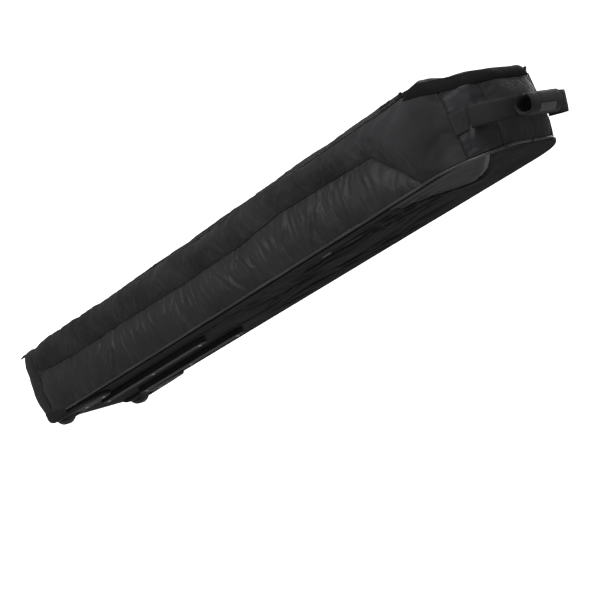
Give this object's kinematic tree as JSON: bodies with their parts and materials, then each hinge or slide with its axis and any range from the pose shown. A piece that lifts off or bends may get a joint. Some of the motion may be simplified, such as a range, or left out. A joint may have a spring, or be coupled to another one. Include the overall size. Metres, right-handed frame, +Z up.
{
  "type": "wheeled snowboard bag",
  "caption": "Long padded snowboard bag with a zipped lid, a pair of wheels at the tail, skid rails underneath and a haul strap that wraps a trolley handle.",
  "frame": {"origin": "centre of the bounding box on the floor that the bag lies on", "axes": "+X from the wheeled tail to the nose with the haul strap, +Y towards the lid's hinge side, +Z up"},
  "size_m": [1.7298, 0.363, 0.2292],
  "materials": {
    "base_tarp": "coated tarpaulin, satin",
    "side_ripstop": "wrinkled coated nylon",
    "upper_polyester": "heathered polyester",
    "nose_satin": "smooth satin-backed polyester",
    "lid_polyester": "woven polyester",
    "band_fabric": "dark woven nylon",
    "webbing": "flat woven webbing",
    "zip_tape": "woven zip tape with moulded teeth",
    "piping": "smooth vinyl-covered piping",
    "padding": "quilted lining over foam",
    "board": "sheet polyethylene",
    "moulded_plastic": "fine moulded texture",
    "wheel_tyre": "smooth urethane",
    "wheel_hub": "moulded nylon",
    "steel": "zinc plated",
    "zip_metal": "black oxide",
    "grip_pad": "padded grip cover",
    "label_rubber": "plain moulded patch, no mark"
  },
  "bodies": {
    "bag": {"wheel_housing_near": "moulded_plastic", "axle_near": "steel", "skid_rail_near": "moulded_plastic", "housing_screws_near": "steel", "rail_screws_near": "steel", "side_lower_near": "side_ripstop", "side_upper_near": "upper_polyester", "base_piping_near": "piping", "haul_anchor_near": "webbing", "wheel_housing_far": "moulded_plastic", "axle_far": "steel", "skid_rail_far": "moulded_plastic", "housing_screws_far": "steel", "rail_screws_far": "steel", "side_lower_far": "side_ripstop", "side_upper_far": "upper_polyester", "base_piping_far": "piping", "haul_anchor_far": "webbing", "base_tub": "base_tarp", "tail_end_panel": "upper_polyester", "nose_end_panel": "nose_satin", "stiffener_board": "board", "floor_padding": "padding", "floor_strap_tail": "webbing", "floor_strap_nose": "webbing", "floor_buckle_tail": "moulded_plastic", "floor_buckle_nose": "moulded_plastic", "zip_tape_wall": "zip_tape", "cross_zip_wall": "zip_tape", "zip_end_tab": "webbing", "carry_handle": "webbing", "carry_anchor_tail": "webbing", "carry_anchor_nose": "webbing"},
    "lid": {"lid_panel": "lid_polyester", "zip_tape_lid": "zip_tape", "cross_zip_lid": "zip_tape", "zip_storm_flap": "band_fabric"},
    "tail_slider": {"slider_tail": "zip_metal"},
    "nose_slider": {"slider_nose": "zip_metal"},
    "tail_pull": {"slider_pull_tail": "zip_metal", "pull_grip_tail": "grip_pad"},
    "nose_pull": {"slider_pull_nose": "zip_metal", "pull_grip_nose": "grip_pad"},
    "near_wheel": {"wheel_tyre_near": "wheel_tyre", "wheel_hub_near": "wheel_hub", "wheel_bearings_near": "steel"},
    "far_wheel": {"wheel_tyre_far": "wheel_tyre", "wheel_hub_far": "wheel_hub", "wheel_bearings_far": "steel"},
    "haul_handle": {"haul_strap": "webbing", "grip_sleeve": "grip_pad"},
    "grip_cover": {"grip_flap": "grip_pad", "label_patch": "label_rubber"}
  },
  "joints": [
    {"name": "lid_hinge", "type": "hinge", "parent": "bag", "child": "lid", "pos_m": [-0.09904, 0.1085, 0.21702], "axis": [-0.9999, 0, 0.0143], "range_deg": [0, 105]},
    {"name": "tail_slider_travel", "type": "slide", "parent": "lid", "child": "tail_slider", "axis": [0.9999, 0, -0.0143], "range_m": [0, 1.22]},
    {"name": "nose_slider_travel", "type": "slide", "parent": "lid", "child": "nose_slider", "axis": [0.9999, 0, -0.0143], "range_m": [-1.22, 0]},
    {"name": "tail_pull_swing", "type": "hinge", "parent": "tail_slider", "child": "tail_pull", "pos_m": [-0.73908, -0.1579, 0.21937], "axis": [-0.0072, -0.866, -0.4999], "range_deg": [0, 150]},
    {"name": "nose_pull_swing", "type": "hinge", "parent": "nose_slider", "child": "nose_pull", "pos_m": [0.62079, -0.1579, 0.1999], "axis": [0.0072, 0.866, 0.4999], "range_deg": [0, 150]},
    {"name": "near_wheel_spin", "type": "hinge", "parent": "bag", "child": "near_wheel", "pos_m": [-0.79758, -0.1425, 0.045], "axis": [0, 1, 0], "continuous": true},
    {"name": "far_wheel_spin", "type": "hinge", "parent": "bag", "child": "far_wheel", "pos_m": [-0.79758, 0.1155, 0.045], "axis": [0, 1, 0], "continuous": true},
    {"name": "haul_handle_swing", "type": "hinge", "parent": "bag", "child": "haul_handle", "pos_m": [0.74908, -0.0135, 0.07986], "axis": [0, -1, 0], "range_deg": [-12, 30]},
    {"name": "grip_cover_opening", "type": "hinge", "parent": "haul_handle", "child": "grip_cover", "pos_m": [0.85499, -0.0475, 0.07168], "axis": [0, -1, 0], "range_deg": [0, 120]}
  ]
}
